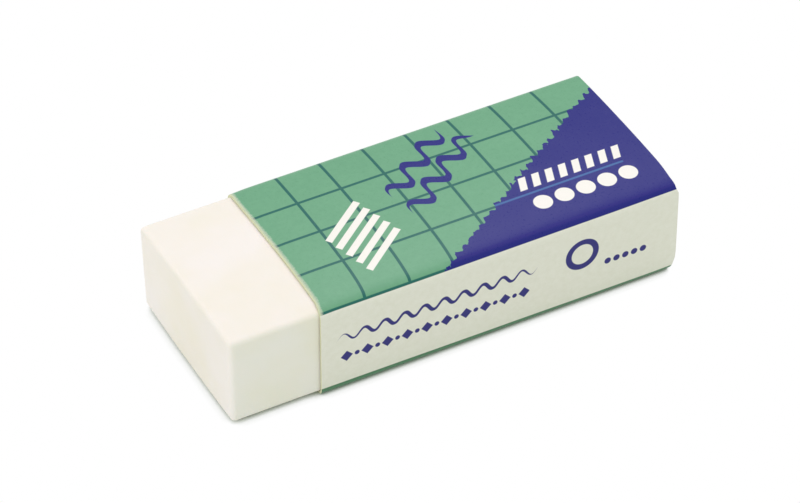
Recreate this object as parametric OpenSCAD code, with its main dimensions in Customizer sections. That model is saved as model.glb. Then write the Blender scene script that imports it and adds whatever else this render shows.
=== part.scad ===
// Rubber eraser: a white rubber block that slides in a folded card sleeve.
// Origin at the middle of the footprint, on the surface that the eraser lies on.
// +X runs along the block, from its bare end towards the sleeve's far end; +Z is up.

/* [Block] */
// Length of the rubber block
block_l = 56; // [48:1:80]
// Width of the rubber block
block_w = 22.5; // [15:0.5:35]
// Height of the rubber block along its long edges
block_h = 11.6; // [10:0.1:20]
// How far the block's top bows up at its middle
crown_rise = 0.3; // [0.1:0.1:0.6]
// Radius of the block's rounded edges
block_edge_r = 0.7; // [0.3:0.1:1.5]

/* [Sleeve] */
// Length of the card sleeve
sleeve_l = 45; // [25:1:60]
// Thickness of the card
card_t = 0.3; // [0.2:0.05:0.6]
// Gap between the block and the card on each side
slide_gap = 0.1; // [0.05:0.05:0.4]
// Height of the flap that is glued inside the back wall
flap_h = 6.5; // [3:0.5:6.5]
// How far the back wall's free edge stays below the top fold
free_edge_drop = 0.5; // [0.2:0.1:1.5]

/* [Position] */
// How far the block's bare end stands out of the sleeve
bare_l = 11.2; // [2:0.1:20]

/* [Hidden] */

// Round edges are true arcs at this setting.
$fn = 64;
// Cutting shapes run past the card by this much.
cut_over = 1;

// The card follows the block's rounded edges.
fold_r = block_edge_r + slide_gap + card_t;

// Tube: the loop of card that the block slides in.
tube_w = block_w + 2 * (slide_gap + card_t);
tube_h = block_h + 2 * (slide_gap + card_t) + crown_rise;
// The back wall is a second layer of card outside the tube's glued flap.
sleeve_w = tube_w + card_t;
tube_y = -card_t / 2;

// Circle of the bowed top panel, which lies on the bowed top of the block.
crown_r = (pow(tube_w / 2, 2) + pow(crown_rise, 2)) / (2 * crown_rise);
crown_z = tube_h - crown_r;

// Height of the centre of the folds beside the top panel.
function top_fold_z(w) = crown_z + sqrt(pow(crown_r - fold_r, 2) - pow(w / 2 - fold_r, 2));

free_edge_z = top_fold_z(tube_w) - free_edge_drop;
flap_end_z = top_fold_z(tube_w) - flap_h;

// The whole eraser is centred along X.
total_l = max(bare_l + sleeve_l, block_l);
block_x = -total_l / 2;
sleeve_x = block_x + bare_l;
block_z = card_t + slide_gap;

// Rounded rectangle with its lower left corner at the origin.
module rounded_rect(w, h, r) {
    translate([r, 0]) square([w - 2 * r, h]);
    translate([0, r]) square([w, h - 2 * r]);
    for (x = [r, w - r], y = [r, h - r]) {
        translate([x, y]) circle(r = r);
    }
}

// Outline of a card tube of outer width w, drawn smaller by inset all round.
module tube_outline(w, inset) {
    half_w = w / 2 - inset;
    r = fold_r - inset;
    fold_x = w / 2 - fold_r;
    fold_z = top_fold_z(w);
    tangent_x = fold_x * (crown_r - inset) / (crown_r - fold_r);

    translate([-half_w, fold_r]) square([2 * half_w, fold_z - fold_r]);
    translate([-fold_x, inset]) square([2 * fold_x, fold_r]);
    for (x = [-fold_x, fold_x], z = [fold_r, fold_z]) {
        translate([x, z]) circle(r = r);
    }
    intersection() {
        translate([0, crown_z]) circle(r = crown_r - inset, $fn = 256);
        translate([-tangent_x, fold_r]) square([2 * tangent_x, tube_h]);
    }
}

module tube_section(w) {
    difference() {
        tube_outline(w, 0);
        tube_outline(w, card_t);
    }
}

// Front wall, top panel and the flap that they end in.
module inner_lap() {
    intersection() {
        translate([tube_y, 0]) tube_section(tube_w);
        translate([-sleeve_w, flap_end_z]) square([2 * sleeve_w, tube_h]);
    }
}

// Front wall, bottom panel and the outer back wall, up to its free edge.
module outer_lap() {
    intersection() {
        tube_section(sleeve_w);
        translate([-sleeve_w, -cut_over]) square([2 * sleeve_w, free_edge_z + cut_over]);
    }
}

// One block of rubber, bowed like the card on top and rounded along all its edges.
module eraser_block() {
    color("whitesmoke")
    translate([block_x, 0, 0])
    intersection() {
        translate([0, tube_y, 0])
        rotate([90, 0, 90]) linear_extrude(block_l) tube_outline(tube_w, card_t + slide_gap);
        translate([0, tube_y - block_w / 2, 0])
        linear_extrude(tube_h) rounded_rect(block_l, block_w, block_edge_r);
        translate([0, sleeve_w, block_z])
        rotate([90, 0, 0])
        linear_extrude(2 * sleeve_w) rounded_rect(block_l, block_h + crown_rise, block_edge_r);
    }
}

// One strip of card, folded round the block and glued to itself along the back.
module card_sleeve() {
    color("mediumseagreen")
    translate([sleeve_x, 0, 0])
    rotate([90, 0, 90])
    linear_extrude(sleeve_l) {
        inner_lap();
        outer_lap();
    }
}

eraser_block();
card_sleeve();
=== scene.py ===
import math

import bmesh
import bpy
from mathutils import Matrix, Vector, noise


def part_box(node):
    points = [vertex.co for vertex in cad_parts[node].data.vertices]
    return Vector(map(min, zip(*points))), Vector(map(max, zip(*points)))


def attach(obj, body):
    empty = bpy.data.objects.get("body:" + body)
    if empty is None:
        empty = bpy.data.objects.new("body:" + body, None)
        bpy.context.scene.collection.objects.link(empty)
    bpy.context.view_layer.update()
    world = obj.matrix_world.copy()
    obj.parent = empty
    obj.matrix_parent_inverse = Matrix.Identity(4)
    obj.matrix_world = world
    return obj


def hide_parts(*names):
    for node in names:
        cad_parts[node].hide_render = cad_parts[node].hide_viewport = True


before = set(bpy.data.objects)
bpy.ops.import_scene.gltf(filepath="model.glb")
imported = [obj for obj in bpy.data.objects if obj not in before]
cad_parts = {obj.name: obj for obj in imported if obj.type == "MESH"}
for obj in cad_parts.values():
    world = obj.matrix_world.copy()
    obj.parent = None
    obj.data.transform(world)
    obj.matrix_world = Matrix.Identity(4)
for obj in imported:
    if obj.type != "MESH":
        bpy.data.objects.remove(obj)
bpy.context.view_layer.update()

mm = 0.001
hair = 0.01 * mm  # nearer than this counts as the same place
blockLow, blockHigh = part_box("eraser_block")
sleeveLow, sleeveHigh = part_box("card_sleeve")
print("frame loaded")


# One output of a node, so that shader maths reads as an expression.
class Wire:
    def __init__(self, paint, socket):
        self.paint = paint
        self.socket = socket

    def output(self, name):
        return Wire(self.paint, self.socket.node.outputs[name])

    def math(self, operation, *others, clamp=False):
        settings = {"operation": operation, "use_clamp": clamp}
        return self.paint.node("Math", settings, dict(enumerate((self,) + others)))

    def __add__(self, other):
        return self.math("ADD", other)

    def __radd__(self, other):
        return self.math("ADD", other)

    def __sub__(self, other):
        return self.math("SUBTRACT", other)

    def __rsub__(self, other):
        return self.math("MULTIPLY_ADD", -1, other)

    def __mul__(self, other):
        return self.math("MULTIPLY", other)

    def __rmul__(self, other):
        return self.math("MULTIPLY", other)

    def __truediv__(self, other):
        return self.math("DIVIDE", other)

    def __abs__(self):
        return self.math("ABSOLUTE")

    def smaller(self, other):
        return self.math("MINIMUM", other)

    def larger(self, other):
        return self.math("MAXIMUM", other)

    # 0 at low, 1 at high, held between the two
    def between(self, low, high):
        scale = 1 / (high - low)
        return self.math("MULTIPLY_ADD", scale, -low * scale, clamp=True)

    # distance to the nearest of equally spaced places
    def toNearest(self, first, pitch):
        return (self - first).math("PINGPONG", pitch / 2)


# A node tree: every node comes from node(), which sets a node's settings before its sockets.
class Paint:
    def __init__(self, tree):
        self.tree = tree
        tree.nodes.clear()

    def node(self, kind, settings=None, sockets=None):
        made = self.tree.nodes.new("ShaderNode" + kind)
        for name, value in (settings or {}).items():
            setattr(made, name, value)
        for name, value in (sockets or {}).items():
            if isinstance(value, Wire):
                self.tree.links.new(value.socket, made.inputs[name])
            else:
                made.inputs[name].default_value = value
        return Wire(self, made.outputs[0]) if made.outputs else None

    def blend(self, factor, first, second):
        sockets = {0: factor, 6: first, 7: second}  # the sockets that a Mix node uses for colours
        return self.node("Mix", {"data_type": "RGBA"}, sockets).output(2)

    def grain(self, place, scale, detail=2.0, roughness=0.5):
        sockets = {"Vector": place, "Scale": scale, "Detail": detail, "Roughness": roughness}
        return self.node("TexNoise", {}, sockets)

    def bump(self, height, distance, normal=None):
        sockets = {"Height": height, "Distance": distance, "Strength": 1.0}
        if normal:
            sockets["Normal"] = normal
        return self.node("Bump", {}, sockets)

    def finish(self, shader, kind="OutputMaterial"):
        self.node(kind, {}, {"Surface": shader})


def newMaterial(name):
    material = bpy.data.materials.new(name)
    material.use_nodes = True
    return material, Paint(material.node_tree)


# Display colour to the linear colour that a shader takes.
def linear(red, green, blue):
    def channel(value):
        value /= 255
        return value / 12.92 if value <= 0.04045 else ((value + 0.055) / 1.055) ** 2.4
    return (channel(red), channel(green), channel(blue), 1)


# 0 up to 0, 1 from 1 on, and a soft step between them.
def smooth(value):
    value = min(max(value, 0), 1)
    return value * value * (3 - 2 * value)


# The same step, growing from start over the given width.
def ramp(value, start, width):
    return smooth((value - start) / width)


# Unevenness of a place: a broad noise and a share of a finer one.
def unevenness(place, broad, fine, fineShare):
    return noise.noise(place / broad) + fineShare * noise.noise(place / fine)


def newPiece(name, bm, materials, body, node):
    mesh = bpy.data.meshes.new(name)
    bm.to_mesh(mesh)
    bm.free()
    mesh.shade_smooth()
    for material in materials:
        mesh.materials.append(material)
    piece = bpy.data.objects.new(name, mesh)
    bpy.context.scene.collection.objects.link(piece)
    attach(piece, body)
    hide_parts(node)
    return piece


# Cuts the mesh by planes square to one axis.
def cutAcross(bm, axis, positions):
    normal = Vector((0, 0, 0))
    normal[axis] = 1
    for position in positions:
        bmesh.ops.bisect_plane(
            bm, geom=bm.verts[:] + bm.edges[:] + bm.faces[:], dist=0.001 * mm,
            plane_co=normal * position, plane_no=normal)


# Even cuts between two ends, with one more close to each end that keeps the rounding tight.
def cutPlaces(low, high, count, hold):
    inner = [low + (high - low) * step / count for step in range(1, count)]
    return [low + hold] + inner + [high - hold]


# A noise is its scale per metre, its detail and its roughness. A spread is where a noise starts to
# show and where it shows in full.
blockLook = {
    "colour": (246, 241, 234),
    "aged": (243, 238, 222),  # faint yellowing in broad patches
    "agedNoise": (90, 3),
    "agedSpread": (0.42, 0.72),
    "dust": (224, 220, 212),  # fine grey specks
    "dustNoise": (1900, 3, 0.6),
    "dustSpread": (0.69, 0.8),
    "dustShare": 0.35,
    "poreNoise": (2600, 4, 0.65),
    "poreDepth": 0.012 * mm,
    "rippleNoise": (260, 2),
    "rippleDepth": 0.05 * mm,
    "roughness": 0.55,
    "agedRoughness": 0.12,
    "poreSmoothness": 0.05,
    "gloss": 0.35,
    "softness": 0.12,  # share of light that enters the rubber
    "softDepth": 0.6 * mm,
    "softColour": (1.0, 0.85, 0.7),  # how deep red, green and blue go
    "edgeRound": 0.6 * mm,
    "edgeSteps": 7,
    "cuts": (36, 18, 9),  # along, across and up
    "cutHold": 0.2 * mm,
    "crown": 0.3 * mm,
    "crownFrom": 0.6,  # share of the height where the top starts to bow
    "shoulder": 0.1 * mm,  # how far the long top edges sink
    "shoulderFrom": 0.75,  # share of the half width where they start to
    "endBow": 0.3 * mm,
    "endBowMiddle": 0.3,  # share of the width, from the front
    "endLean": 0.15 * mm,  # the bare end's foot stands back from its top edge
    "rearLean": 0.2 * mm,  # and a little more at its rear corner
    "farBow": 0.8 * mm,
    "farBowMiddle": 0.5,
    "endReach": 4 * mm,  # how far from an end its bow and lean are felt
    "endBlend": 3 * mm,
    "wobble": 0.02 * mm,
    "dents": (7 * mm, 2.5 * mm, 0.5),  # broad size, fine size and the fine one's share
}


def rubberMaterial():
    look = blockLook
    material, paint = newMaterial("whiteRubber")
    place = paint.node("TexCoord").output("Object")
    patches = paint.grain(place, *look["agedNoise"]).between(*look["agedSpread"])
    specks = paint.grain(place, *look["dustNoise"]).between(*look["dustSpread"])
    pores = paint.grain(place, *look["poreNoise"])
    ripple = paint.grain(place, *look["rippleNoise"])
    colour = paint.blend(patches, linear(*look["colour"]), linear(*look["aged"]))
    colour = paint.blend(specks * look["dustShare"], colour, linear(*look["dust"]))
    relief = paint.bump(ripple, look["rippleDepth"])
    relief = paint.bump(pores, look["poreDepth"], relief)
    rough = look["roughness"] + look["agedRoughness"] * patches - look["poreSmoothness"] * pores
    shader = paint.node("BsdfPrincipled", {}, {
        "Base Color": colour,
        "Roughness": rough,
        "Specular IOR Level": look["gloss"],
        "Subsurface Weight": look["softness"],
        "Subsurface Radius": look["softColour"],
        "Subsurface Scale": look["softDepth"],
        "Normal": relief,
    })
    paint.finish(shader)
    return material


def makeBlock():
    look = blockLook
    size = blockHigh - blockLow
    size.z -= look["crown"]
    middle = blockLow + size / 2
    bm = bmesh.new()
    bmesh.ops.create_cube(bm, size=1)
    bmesh.ops.scale(bm, vec=size, verts=bm.verts)
    bmesh.ops.translate(bm, vec=middle, verts=bm.verts)
    bmesh.ops.bevel(bm, geom=bm.edges[:], offset=look["edgeRound"], segments=look["edgeSteps"],
                    profile=0.5, affect="EDGES", material=-1)
    for axis, count in enumerate(look["cuts"]):
        low = middle[axis] - size[axis] / 2 + look["edgeRound"]
        high = middle[axis] + size[axis] / 2 - look["edgeRound"]
        cutAcross(bm, axis, cutPlaces(low, high, count, look["cutHold"]))
    for vert in bm.verts:
        place = vert.co.copy()
        wide = (place.y - middle.y) / (size.y / 2)
        tall = (place.z - blockLow.z) / size.z
        side = (wide + 1) / 2
        # bowed top with sinking shoulders
        rise = look["crown"] * (1 - wide * wide)
        rise -= look["shoulder"] * ramp(abs(wide), look["shoulderFrom"], 1 - look["shoulderFrom"])
        vert.co.z += rise * ramp(tall, look["crownFrom"], 1 - look["crownFrom"])
        # cut ends: slightly bowed, and the bare end leans
        back = look["endBow"] * (side - look["endBowMiddle"]) ** 2
        back += (look["endLean"] + look["rearLean"] * side * side) * (1 - tall)
        vert.co.x += back * smooth((blockLow.x + look["endReach"] - place.x) / look["endBlend"])
        far = look["farBow"] * (side - look["farBowMiddle"]) ** 2
        vert.co.x -= far * smooth((place.x - blockHigh.x + look["endReach"]) / look["endBlend"])
        # slight unevenness of moulded rubber, mostly inwards
        vert.co -= vert.normal * look["wobble"] * (1 + unevenness(place, *look["dents"]))
    bm.normal_update()
    newPiece("eraserBlock", bm, [rubberMaterial()], "block", "eraser_block")


# Places on the card are in mm: across is measured from the sleeve's bare-end edge, along the block,
# and over is measured round the section from the print's edge at the front top fold, upwards and
# back; down is the same measure the other way. A centre or start is (across, over), a turn is in
# degrees, a spacing is the first place and the pitch, and a band is its middle and its reach to
# each side. Noises on the printed side have their scale per mm.
sleeveLook = {
    "colours": {
        "cream": (239, 236, 226),
        "creamSpeck": (220, 216, 198),
        "green": (117, 174, 137),
        "greenDark": (107, 164, 129),
        "greenFoldShade": (84, 130, 98),  # painted shade: the green is darker where the card turns under at the front bottom fold
        "line": (44, 107, 98),
        "blue": (39, 41, 126),
        "white": (246, 244, 236),
        "lightBlue": (66, 108, 166),
        "sideBlue": (60, 58, 128),
        "bareEdge": (208, 216, 180),
    },
    "card": {
        "fibreNoise": (3.2, 4, 0.62),
        "fibreDepth": 0.008 * mm,
        "cloudNoise": (0.22, 3),
        "cloudDepth": 0.05 * mm,
        "mottleNoise": (1.3, 4, 0.6),
        "mottleSpread": (0.35, 0.65),
        "speckNoise": (5.5, 2),
        "speckSpread": (0.62, 0.78),
        "creamMottle": 0.22,
        "creamSpecks": 0.25,
        "greenCloud": 0.6,
        "greenMottle": 0.4,
        "roughness": 0.56,
        "inkSmoothness": 0.31,  # printed card is smoother by this much
        "fibreRoughness": 0.06,
        "gloss": 0.14,
    },
    "print": {
        "inkEdge": 0.07,  # how soft the edge of a printed shape is
        "worn": (0.05, 0.5),  # the print is rubbed away along the bare-end edge, over this stretch
        "wornUneven": 0.5,
        "skew": 0.018,  # the print sits a little askew on the card
        "topMiddle": 11.75,
        "fold": -10.77,  # where the print starts again, at the front bottom fold
        "foldSkew": 0.0075,
        "bottomDown": 34.0,  # where it stops, at the back bottom fold
        "foldShadeReach": 2.2,  # the painted shade on the green reaches this far below the front bottom fold
        "foldShadeFade": 1.2,
    },
    "grid": {
        "lineWidth": 0.37,
        "squareAcross": 5.52,
        "squareOver": 5.45,
        "firstLine": 5.9,
        "acrossBand": (22.4, 20.5),
        "overReach": 8.4,
        "gapDown": 1.0,  # below the front bottom fold the cross lines leave a gap
        "gapReach": 1.2,
        "straightest": 6,  # the cross lines bow to both sides of this place
        "backBow": 0.0008,
        "backFan": 0.00003,  # and fan out along the card
        "frontBow": 0.0075,
        "shift": 0.06,
        "creaseBand": (0.14, 0.16),  # a line along the front top fold
    },
    "corner": {
        "centre": (30, 9.75),
        "turn": 33.9,
        "edge": 1.03,
        "notchPitch": 1.3,
        "notchSlope": 0.7,
        "frayNoise": (0.9, 2),
        "frayDepth": 1.6,
    },
    "bars": {
        "centre": (9.75, 8.95),
        "turn": 38,
        "count": 5,
        "pitch": 1.5,
        "stepOut": 0.55,
        "halfLength": 3.7,
        "halfWidth": 0.42,
    },
    "waves": {
        "start": (16.4, 9.65),
        "turn": 38,
        "lowerLength": 15.2,
        "upperLength": 13.0,
        "upperStart": (1.5, 3.3),  # from the lower one's start
        "stroke": {"height": 1.05, "period": 4.2, "width": 0.85, "swell": 0.45},
    },
    "rows": {
        "tickSpacing": (29.6, 1.72),
        "tickHalfWidth": 0.46,
        "tickSlant": 0.35,
        "tickOver": (8.25, 1.02),
        "tickAcross": (35.62, 6.8),
        "discSpacing": (30.2, 2.75),
        "discOver": 4.6,
        "discRadius": 1.12,
        "discAcross": (35.7, 6.9),
        "lineCentre": (33.0, 6.5),
        "lineHalf": (8.6, 0.14),
    },
    "side": {
        "pitch": 2.46,  # of the wave, the diamonds and the dots alike
        "waveStart": 2.4,
        "waveDown": 4.35,
        "waveLength": 24.6,
        "waveStroke": {"height": 0.5, "width": 0.42, "swell": 0.2},
        "rowDown": 7.15,
        "rowAcross": (14.4, 11.8),
        "diamondFirst": 3.4,
        "diamondSlope": 0.75,
        "diamondSize": 0.55,
        "dotFirst": 4.63,
        "dotRadius": 0.3,
        "ringAcross": 32.9,
        "ringDown": 4.6,
        "ringRadius": 1.75,
        "ringHalfWidth": 0.38,
        "tailSpacing": (36.3, 1.15),
        "tailDown": 6.9,
        "tailRadius": 0.42,
        "tailAcross": (38.6, 2.9),
    },
    "rawCard": {  # inside the sleeve; these two have their noise scale per metre
        "light": (222, 214, 192),
        "dark": (196, 186, 160),
        "noise": (2400, 4, 0.65),
        "depth": 0.02 * mm,
        "roughness": 0.85,
    },
    "cutCard": {  # on the cut edges
        "light": (226, 228, 192),
        "dark": (206, 208, 172),
        "noise": (5200, 3, 0.6),
        "depth": 0.02 * mm,
        "roughness": 0.9,
    },
    # a pair here is where an effect starts and over what width it grows
    "shape": {
        "card": 0.3 * mm,
        "topFold": 1.1 * mm,
        "bottomFold": 1.0 * mm,
        "foldSteps": 8,
        "sharpAngle": 1,  # in radians; before rounding, only the creases turn by more
        "crown": 0.3 * mm,
        "freeEdge": 1.85 * mm,  # the outer back wall ends this far below the crown
        "flapEnd": 7.85 * mm,  # and the glued flap inside it, this far
        "glue": 0.02 * mm,
        "printTurn": 33.5,  # how far up the front top fold the print starts, in degrees
        "lengthCuts": 59,
        "panelCuts": ((20 * mm, 25), (8 * mm, 11), (4 * mm, 6)),  # for panels wider than this
        "topDepth": (4 * mm, 3.3 * mm),  # the top's effects start this far below it, and grow
        "frontShoulder": 0.15 * mm,  # how far the top sinks towards its front fold
        "backShoulder": 0.1 * mm,  # and towards its back one
        "shoulderReach": 4.5 * mm,
        "keenFold": 0.2,  # the front top fold's radius shrinks by this share at the far end
        "keenAlong": (36 * mm, 9 * mm),
        "bentCorner": 0.06 * mm,  # the top's rear corner bends down at the bare end
        "bentAcross": (8.5 * mm, 2.5 * mm),
        "bentLength": 3 * mm,
        "lip": 0.05 * mm,  # the top's bare-end edge lies this much lower, close to the block
        "lipLength": 2 * mm,
        "endLength": 8 * mm,  # how far in from the bare end its edge's effects reach
        "longFront": 0.25 * mm,  # the front wall reaches this much further at the bare end
        "longAcross": (9.6 * mm, 2 * mm),
        "hollowTop": 0.12 * mm,  # the top's edge there is slightly hollow
        "rearCut": 0.15 * mm,  # and stands back at its rear corner
        "rearAcross": (8 * mm, 3.5 * mm),
        "farLength": 5 * mm,  # how far in from the far end its effects reach
        "frontCut": 0.25 * mm,  # the top's front corner stands back at the far end
        "frontCutWidth": 5 * mm,
        "frontCutDepth": (1.3 * mm, mm),  # starts this far below the top, and grows upwards
        "softCorner": 0.6 * mm,  # the front bottom corner at the far end is crushed
        "softHeight": 3 * mm,
        "softAcross": (8 * mm, 3.6 * mm),
        "softInwards": 0.05,  # it goes in and up by these shares of that
        "softUpwards": 0.08,
        "wobble": 0.025 * mm,
        "dents": (9 * mm, 3 * mm, 0.4),
        "dentMiddle": 0.7,
        "dentShare": 0.5,
        "rimRound": 0.04 * mm,
        "rimSteps": 2,
        "rimAngle": 50,  # in degrees; sharper edges are rounded
    },
}


# 1 inside a printed shape, 0 outside; distance is negative inside.
def ink(distance):
    scale = -1 / sleeveLook["print"]["inkEdge"]
    return distance.math("MULTIPLY_ADD", scale, 0.5, clamp=True)


def turned(across, over, centre, degrees):
    c, s = math.cos(math.radians(degrees)), math.sin(math.radians(degrees))
    return ((across - centre[0]) * c + (over - centre[1]) * s,
            (over - centre[1]) * c - (across - centre[0]) * s)


# Negative inside a straight band.
def band(measure, middle, reach):
    return abs(measure - middle) - reach


def rectangle(x, y, halfX, halfY):
    return (abs(x) - halfX).larger(abs(y) - halfY)


def disc(x, y, radius):
    return (x * x + y * y).math("SQRT") - radius


# A wavy brush stroke along x, from 0 to length, thicker on the way down and tapered at its ends.
def wave(x, y, length, height, period, width, swell):
    turn = 2 * math.pi / period
    rise = (x * turn).math("COSINE")
    slope = rise * (height * turn)
    steep = (1 + slope * slope).math("SQRT")
    fromMiddle = (x - length / 2) / (length / 2)
    taper = 1 - fromMiddle.math("POWER", 6)
    half = (1 - rise * swell) * taper * (width / 2)
    return abs(y - (x * turn).math("SINE") * height) / steep - half


# Squared paper over the green field, and a line along the front top fold.
def gridInk(across, over):
    look = sleeveLook["grid"]
    topMiddle, fold = sleeveLook["print"]["topMiddle"], sleeveLook["print"]["fold"]
    halfLine = look["lineWidth"] / 2
    back = (over - look["straightest"]).larger(0)
    front = (look["straightest"] - over.larger(0)).larger(0)
    bow = back * back * (across * look["backFan"] + look["backBow"])
    bow = bow + front * front * look["frontBow"] + look["shift"]
    cross = (across + bow).toNearest(look["firstLine"], look["squareAcross"]) - halfLine
    cross = cross.larger(band(across, *look["acrossBand"]))
    cross = cross.larger(look["gapReach"] - abs(over - fold + look["gapDown"]))
    long = over.toNearest(topMiddle, look["squareOver"]) - halfLine
    long = long.larger(band(over, topMiddle, look["overReach"]))
    return ink(cross.smaller(long).smaller(band(over, *look["creaseBand"])))


# Blue corner with a roughly notched edge; fray is 0 to 1 and uneven.
def cornerInk(across, over, fray):
    look = sleeveLook["corner"]
    x, y = turned(across, over, look["centre"], look["turn"])
    notch = (x + fray).toNearest(0, look["notchPitch"]) * look["notchSlope"]
    return ink(y + (notch + fray * look["frayDepth"]) - look["edge"])


# White bars in steps.
def barsInk(across, over):
    look = sleeveLook["bars"]
    x, y = turned(across, over, look["centre"], look["turn"])
    step = (y / look["pitch"]).math("ROUND")
    bar = rectangle(x - step * look["stepOut"], y - step * look["pitch"],
                    look["halfLength"], look["halfWidth"])
    return ink(bar.larger(abs(y) - look["count"] * look["pitch"] / 2))


# Two blue waves, one above the other.
def wavesInk(across, over):
    look = sleeveLook["waves"]
    x, y = turned(across, over, look["start"], look["turn"])
    along, up = look["upperStart"]
    lower = wave(x, y, look["lowerLength"], **look["stroke"])
    upper = wave(x - along, y - up, look["upperLength"], **look["stroke"])
    return ink(lower.smaller(upper))


# White slanted ticks above a row of discs.
def rowsInk(across, over):
    look = sleeveLook["rows"]
    slant = across - (over - look["tickOver"][0]) * look["tickSlant"]
    ticks = slant.toNearest(*look["tickSpacing"]) - look["tickHalfWidth"]
    ticks = ticks.larger(band(over, *look["tickOver"])).larger(band(slant, *look["tickAcross"]))
    discs = disc(across.toNearest(*look["discSpacing"]), over - look["discOver"], look["discRadius"])
    return ink(ticks.smaller(discs.larger(band(across, *look["discAcross"]))))


# Thin line between the ticks and the discs.
def thinLineInk(across, over):
    look = sleeveLook["rows"]
    x, y = look["lineCentre"]
    return ink(rectangle(across - x, over - y, *look["lineHalf"]))


# On the cream side: a long fine wave over a row of diamonds and dots, then a ring and more dots.
def sideInk(across, over):
    look = sleeveLook["side"]
    line = wave(across - look["waveStart"], over + look["waveDown"], look["waveLength"],
                period=look["pitch"], **look["waveStroke"])
    height = over + look["rowDown"]
    diamonds = abs(across.toNearest(look["diamondFirst"], look["pitch"])) * look["diamondSlope"]
    diamonds = diamonds + abs(height) * look["diamondSlope"] - look["diamondSize"]
    dots = disc(across.toNearest(look["dotFirst"], look["pitch"]), height, look["dotRadius"])
    row = diamonds.smaller(dots).larger(band(across, *look["rowAcross"]))
    ring = disc(across - look["ringAcross"], over + look["ringDown"], look["ringRadius"])
    ring = abs(ring) - look["ringHalfWidth"]
    tail = disc(across.toNearest(*look["tailSpacing"]), over + look["tailDown"], look["tailRadius"])
    tail = tail.larger(band(across, *look["tailAcross"]))
    return ink(line.smaller(row).smaller(ring).smaller(tail))


def cardMaterial():
    look, edges = sleeveLook["card"], sleeveLook["print"]
    colours = {name: linear(*colour) for name, colour in sleeveLook["colours"].items()}
    material, paint = newMaterial("printedCard")
    place = paint.node("UVMap", {"uv_map": "cardPlace"})
    parts = paint.node("SeparateXYZ", {}, {"Vector": place})
    over = parts.output("Y")
    straight = parts.output("X")
    across = straight - (over - edges["topMiddle"]) * edges["skew"]

    fibre = paint.grain(place, *look["fibreNoise"])
    cloud = paint.grain(place, *look["cloudNoise"])
    mottle = paint.grain(place, *look["mottleNoise"]).between(*look["mottleSpread"])
    speck = paint.grain(place, *look["speckNoise"]).between(*look["speckSpread"])
    fray = paint.grain(place, *sleeveLook["corner"]["frayNoise"])

    # where there is ink: on the top, less its worn edge, and from the front bottom fold on
    uneven = edges["wornUneven"]
    worn = (straight + fibre * uneven - uneven / 2).between(*edges["worn"])
    top = ink(0 - over)
    fromFold = over - edges["fold"] + straight * edges["foldSkew"]
    bottom = ink(fromFold) * ink(0 - (over + edges["bottomDown"]))
    printed = top * worn + bottom

    cream = paint.blend(mottle * look["creamMottle"] + speck * look["creamSpecks"],
                        colours["cream"], colours["creamSpeck"])
    cream = paint.blend(worn + (1 - top), colours["bareEdge"], cream)
    green = paint.blend(cloud * look["greenCloud"] + mottle * look["greenMottle"],
                        colours["green"], colours["greenDark"])
    # painted shade: the green darkens on the front bottom fold, where the card turns under
    foldShadeMask = (fromFold + edges["foldShadeReach"]).between(0, edges["foldShadeFade"]) * (1 - top)
    green = paint.blend(foldShadeMask, green, colours["greenFoldShade"])
    field = paint.blend(gridInk(across, over), green, colours["line"])
    field = paint.blend(wavesInk(across, over), field, colours["blue"])
    field = paint.blend(barsInk(across, over), field, colours["white"])
    blue = paint.blend(thinLineInk(across, over), colours["blue"], colours["lightBlue"])
    blue = paint.blend(rowsInk(across, over), blue, colours["white"])
    field = paint.blend(cornerInk(across, over, fray) * top, field, blue)
    colour = paint.blend(printed, cream, field)
    colour = paint.blend(sideInk(across, over) * ink(over), colour, colours["sideBlue"])

    relief = paint.bump(cloud, look["cloudDepth"])
    relief = paint.bump(fibre, look["fibreDepth"], relief)
    rough = look["roughness"] - look["inkSmoothness"] * printed + look["fibreRoughness"] * fibre
    shader = paint.node("BsdfPrincipled", {}, {
        "Base Color": colour,
        "Roughness": rough,
        "Specular IOR Level": look["gloss"],
        "Normal": relief,
    })
    paint.finish(shader)
    return material


# Card with no print on it.
def bareCardMaterial(name):
    look = sleeveLook[name]
    material, paint = newMaterial(name)
    place = paint.node("TexCoord").output("Object")
    fibre = paint.grain(place, *look["noise"])
    shader = paint.node("BsdfPrincipled", {}, {
        "Base Color": paint.blend(fibre, linear(*look["light"]), linear(*look["dark"])),
        "Roughness": look["roughness"],
        "Normal": paint.bump(fibre, look["depth"]),
    })
    paint.finish(shader)
    return material


# One strip of card with four folds, from the back wall's free edge round to the flap inside it.
def foldedStrip(top, freeEdge):
    look = sleeveLook["shape"]
    back, front = sleeveHigh.y, sleeveLow.y
    inner = back - look["card"] - look["glue"]
    bm = bmesh.new()
    corners = ((back, freeEdge), (back, 0), (front, 0), (front, top), (inner, top),
               (inner, sleeveHigh.z - look["flapEnd"]))
    path = [bm.verts.new((sleeveLow.x, y, z)) for y, z in corners]
    edges = [bm.edges.new(pair) for pair in zip(path, path[1:])]
    swept = bmesh.ops.extrude_edge_only(bm, edges=edges)["geom"]
    moved = [item for item in swept if isinstance(item, bmesh.types.BMVert)]
    bmesh.ops.translate(bm, vec=(sleeveHigh.x - sleeveLow.x, 0, 0), verts=moved)
    for fold, isTop in ((look["topFold"], True), (look["bottomFold"], False)):
        creases = [e for e in bm.edges if len(e.link_faces) == 2
                   and e.calc_face_angle() > look["sharpAngle"]
                   and (e.verts[0].co.z > top / 2) == isTop]
        bmesh.ops.bevel(bm, geom=creases, offset=fold, segments=look["foldSteps"], profile=0.5,
                        affect="EDGES", material=-1)
    return bm


# Length walked from a vertex round the profile at its own end, for each vertex there.
def walkProfile(start):
    walked, last, here, length = {start: 0.0}, None, start, 0.0
    while True:
        ahead = [edge.other_vert(here) for edge in here.link_edges]
        ahead = [v for v in ahead if v is not last and abs(v.co.x - here.co.x) < hair]
        if not ahead:
            return walked
        length += (ahead[0].co - here.co).length
        last, here = here, ahead[0]
        walked[here] = length


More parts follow.
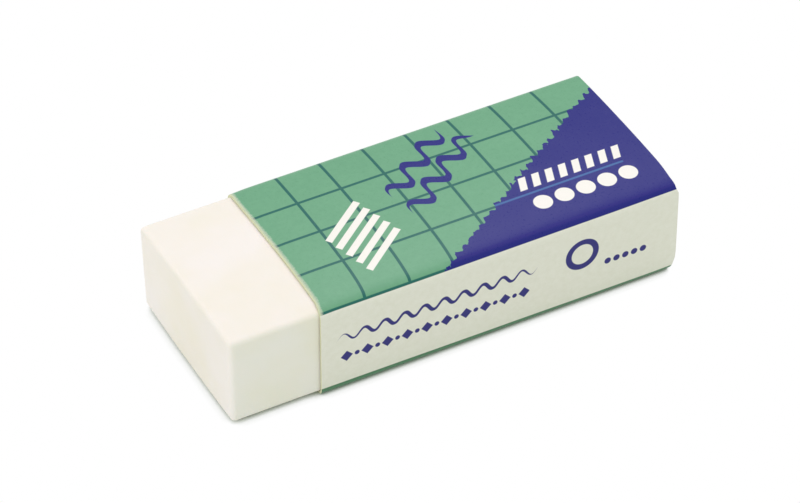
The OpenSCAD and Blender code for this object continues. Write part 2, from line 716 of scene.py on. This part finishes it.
# Gives each corner of the strip its place on the flat card, for the print.
def layPrint(bm, top, freeEdge):
    look = sleeveLook["shape"]
    back, front = sleeveHigh.y, sleeveLow.y
    walked = {}
    for vert in bm.verts:
        if len(vert.link_edges) == 2 and abs(vert.co.y - back) < hair:
            walked.update(walkProfile(vert))
    # from the free edge down the back wall, along the bottom, up the front and into the top fold
    printEdge = (freeEdge - look["bottomFold"]) + (back - front - 2 * look["bottomFold"])
    printEdge += math.pi * look["bottomFold"] + (top - look["topFold"] - look["bottomFold"])
    printEdge += look["topFold"] * math.radians(look["printTurn"])
    layer = bm.loops.layers.uv.new("cardPlace")
    for face in bm.faces:
        for loop in face.loops:
            across = (loop.vert.co.x - sleeveLow.x) / mm
            loop[layer].uv = (across, (walked[loop.vert] - printEdge) / mm)


# Cuts the strip's panels finely enough to bow and bend.
def cutPanels(bm):
    look = sleeveLook["shape"]
    lengthwise = [e for e in bm.edges if abs(e.verts[0].co.x - e.verts[1].co.x) > mm]
    bmesh.ops.subdivide_edges(bm, edges=lengthwise, cuts=look["lengthCuts"])
    for panel, cuts in look["panelCuts"]:
        wide = [e for e in bm.edges if abs(e.verts[0].co.x - e.verts[1].co.x) < hair
                and e.calc_length() > panel]
        bmesh.ops.subdivide_edges(bm, edges=wide, cuts=cuts)


# Bows the panels and gives the card the small bends and cuts of a used sleeve.
def wearCard(bm, top, freeEdge):
    look = sleeveLook["shape"]
    back, front = sleeveHigh.y, sleeveLow.y
    foldReach = look["topFold"] * 1.01  # just past the fold
    topDepth, topGrow = look["topDepth"]
    cutDepth, cutGrow = look["frontCutDepth"]
    for vert in bm.verts:
        place = vert.co.copy()
        along = place.x - sleeveLow.x
        wide = place.y / back
        fromFront = place.y - front
        # bowed top panel with soft shoulders, the front one deeper
        rise = look["crown"] * (1 - wide * wide)
        rise -= look["frontShoulder"] * max(0, 1 - fromFront / look["shoulderReach"]) ** 2
        rise -= look["backShoulder"] * max(0, 1 - (back - place.y) / look["shoulderReach"]) ** 2
        topShare = ramp(place.z, top - topDepth, topGrow)
        if fromFront < foldReach and top - place.z < foldReach:
            tighter = look["keenFold"] * ramp(along, *look["keenAlong"])
            vert.co.y -= fromFront * tighter
            vert.co.z += (top - place.z) * tighter
        # the back wall and the flap inside it stay straight up to the free edge
        if place.z > freeEdge + hair or place.y < 0:
            vert.co.z += rise * topShare
            corner = ramp(place.y, *look["bentAcross"]) * max(0, 1 - along / look["bentLength"]) ** 2
            vert.co.z -= look["bentCorner"] * corner * topShare
            vert.co.z -= look["lip"] * topShare * (1 - smooth(along / look["lipLength"]))
        # the bare-end edge: the front wall reaches further, the top edge is slightly hollow
        nearEnd = 1 - smooth(along / look["endLength"])
        vert.co.x -= look["longFront"] * ramp(-place.y, *look["longAcross"]) * nearEnd
        vert.co.x += look["hollowTop"] * (1 - wide * wide) * topShare * nearEnd
        vert.co.x += look["rearCut"] * ramp(place.y, *look["rearAcross"]) * topShare * nearEnd
        # the far end: the top's front corner is cut back, the bottom one is crushed
        nearFar = max(0, 1 - (sleeveHigh.x - place.x) / look["farLength"]) ** 2
        upper = ramp(place.z, top - cutDepth, cutGrow)
        atFront = 1 - smooth(fromFront / look["frontCutWidth"])
        vert.co.x -= look["frontCut"] * atFront * upper * nearFar
        low = smooth((look["softHeight"] - place.z) / look["softHeight"])
        low *= ramp(-place.y, *look["softAcross"])
        vert.co.x -= look["softCorner"] * low * low * nearFar
        vert.co.y += look["softInwards"] * look["softCorner"] * low * nearFar
        vert.co.z += look["softUpwards"] * look["softCorner"] * low * nearFar
        dent = look["dentMiddle"] + unevenness(place, *look["dents"])
        vert.co -= vert.normal * look["wobble"] * dent * look["dentShare"]


def makeSleeve():
    look = sleeveLook["shape"]
    top = sleeveHigh.z - look["crown"]
    freeEdge = sleeveHigh.z - look["freeEdge"]
    bm = foldedStrip(top, freeEdge)
    layPrint(bm, top, freeEdge)
    cutPanels(bm)
    bm.normal_update()
    wearCard(bm, top, freeEdge)
    materials = [cardMaterial(), bareCardMaterial("rawCard"), bareCardMaterial("cutCard")]
    piece = newPiece("cardSleeve", bm, materials, "sleeve", "card_sleeve")
    wall = piece.modifiers.new("wall", "SOLIDIFY")
    wall.thickness = look["card"]
    wall.offset = -1
    wall.use_even_offset = True
    wall.material_offset = 1
    wall.material_offset_rim = 2
    rim = piece.modifiers.new("rim", "BEVEL")
    rim.width = look["rimRound"]
    rim.segments = look["rimSteps"]
    rim.limit_method = "ANGLE"
    rim.angle_limit = math.radians(look["rimAngle"])
    rim.harden_normals = True


makeBlock()
print("block made")
makeSleeve()
print("sleeve made")


stageLook = {
    "floorSize": 4.0,
    "floorColour": (0.86, 0.86, 0.86, 1),
    "shadeColour": (0.48, 0.53, 0.42, 1),
    "shadeReach": 1.8 * mm,
    "shadeSpread": (0.2, 0.62),  # openness at which the shade is full, and gone
    "shadeSamples": 8,
    "shadeLean": (-0.9, 1.2, 0.8),  # shade gathers in front of the eraser, hardly at its ends
    "ambient": (0.628, 0.753, 0.61, 1),
}


# White for what the camera and clear reflections see; seen is 1 for those rays.
def seenRays(paint):
    rays = paint.node("LightPath")
    seen = rays.output("Is Camera Ray") + rays.output("Is Glossy Ray")
    return (seen + rays.output("Is Transmission Ray")).smaller(1)


def makeFloor():
    bm = bmesh.new()
    bmesh.ops.create_grid(bm, x_segments=2, y_segments=2, size=stageLook["floorSize"] / 2)
    mesh = bpy.data.meshes.new("floor")
    bm.to_mesh(mesh)
    bm.free()
    floor = bpy.data.objects.new("floor", mesh)
    bpy.context.scene.collection.objects.link(floor)
    material, paint = newMaterial("paleFloor")
    lean = Vector(stageLook["shadeLean"]).normalized()
    sockets = {"Distance": stageLook["shadeReach"], "Normal": lean}
    openness = paint.node("AmbientOcclusion", {"samples": stageLook["shadeSamples"]}, sockets)
    clear = openness.output("AO").between(*stageLook["shadeSpread"])
    lit = paint.node("BsdfDiffuse", {}, {"Color": stageLook["floorColour"]})
    shade = paint.node("BsdfDiffuse", {}, {"Color": stageLook["shadeColour"]})
    white = paint.node("Emission", {}, {"Color": (1, 1, 1, 1), "Strength": 1.0})
    seen = paint.node("MixShader", {}, {0: clear, 1: shade, 2: white})
    paint.finish(paint.node("MixShader", {}, {0: seenRays(paint), 1: lit, 2: seen}))
    mesh.materials.append(material)


def makeWorld():
    world = bpy.data.worlds.new("paleRoom")
    bpy.context.scene.world = world
    world.use_nodes = True
    paint = Paint(world.node_tree)
    colour = paint.blend(seenRays(paint), stageLook["ambient"], (1, 1, 1, 1))
    paint.finish(paint.node("Background", {}, {"Color": colour, "Strength": 1.0}), "OutputWorld")


# Places and sizes are in m and powers in W. Each lamp looks at the eraser, and mirrored says
# whether glossy card shows its reflection.
lamps = {
    "overhead": {"place": (0.10, 0.06, 0.70), "size": 0.60, "power": 1.75,
                 "colour": (0.985, 0.57, 1.0), "mirrored": True},
    "left": {"place": (-0.60, -0.10, 0.22), "size": 0.45, "power": 0.92,
             "colour": (0.957, 0.69, 1.0), "mirrored": False},  # seen low, it would wash out the print
    "sheen": {"place": (0.253, 0.389, 0.524), "size": 0.14, "power": 0.4,
              "colour": (0.95, 0.93, 1.0), "mirrored": True},
}


def makeLamps():
    for name, look in lamps.items():
        data = bpy.data.lights.new(name, "AREA")
        data.size = look["size"]
        data.energy = look["power"]
        data.color = look["colour"]
        lamp = bpy.data.objects.new(name, data)
        bpy.context.scene.collection.objects.link(lamp)
        lamp.visible_glossy = look["mirrored"]
        lamp.location = look["place"]
        lamp.rotation_mode = "QUATERNION"
        lamp.rotation_quaternion = Vector(look["place"]).to_track_quat("Z", "Y")


cameraLook = {
    "target": Vector((-1.51, -0.90, 6.5)) * mm,
    "azimuth": -28.53,  # degrees; 0 looks along +Y
    "elevation": 40.70,
    "roll": -0.18,
    "distance": 484.1 * mm,
    "lens": 194.8,
    "sensorWidth": 36,
    "nearest": 10 * mm,
}


def makeCamera():
    look = cameraLook
    a, e = math.radians(look["azimuth"]), math.radians(look["elevation"])
    away = Vector((math.sin(a) * math.cos(e), -math.cos(a) * math.cos(e), math.sin(e)))
    data = bpy.data.cameras.new("camera")
    data.lens = look["lens"]
    data.sensor_width = look["sensorWidth"]
    data.clip_start = look["nearest"]
    camera = bpy.data.objects.new("camera", data)
    bpy.context.scene.collection.objects.link(camera)
    turn = away.to_track_quat("Z", "Y").to_matrix().to_4x4()
    camera.matrix_world = (Matrix.Translation(look["target"] + away * look["distance"])
                           @ turn @ Matrix.Rotation(math.radians(-look["roll"]), 4, "Z"))
    bpy.context.scene.camera = camera


makeFloor()
makeWorld()
makeLamps()
makeCamera()
bpy.context.scene.view_settings.view_transform = "Standard"
print("stage made")
